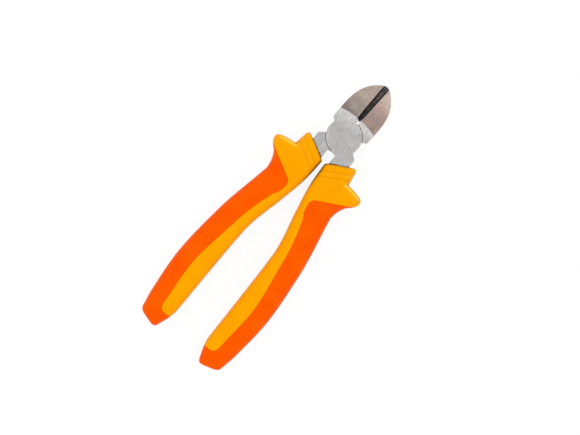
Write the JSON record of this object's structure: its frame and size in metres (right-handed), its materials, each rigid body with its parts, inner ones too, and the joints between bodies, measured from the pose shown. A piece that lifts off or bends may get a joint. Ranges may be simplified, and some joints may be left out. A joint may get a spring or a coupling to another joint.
{
  "type": "insulated diagonal cutter",
  "caption": "Diagonal cutting pliers with a lapped steel joint, ground jaws and two-layer insulated handles with collars and hand guards.",
  "frame": {"origin": "on the rivet's axis, on the flat back face of the joint", "axes": "+Y from the rivet to the jaw tip, +Z out of the front face, +X to the right as seen from the front"},
  "size_m": [0.0548, 0.1591, 0.0132],
  "materials": {
    "forged_steel": "satin",
    "rivet_steel": "satin",
    "yellow_insulation": "satin",
    "orange_grip": "matte"
  },
  "bodies": {
    "front_lever": {"front_half": "forged_steel", "pivot_rivet": "rivet_steel", "right_sleeve": "yellow_insulation", "right_grip": "orange_grip"},
    "rear_lever": {"rear_half": "forged_steel", "left_sleeve": "yellow_insulation", "left_grip": "orange_grip"}
  },
  "joints": [
    {"name": "jaw_pivot", "type": "hinge", "parent": "front_lever", "child": "rear_lever", "pos_m": [0, 0, 0.005], "axis": [0, 0, -1], "range_deg": [0, 42]}
  ]
}
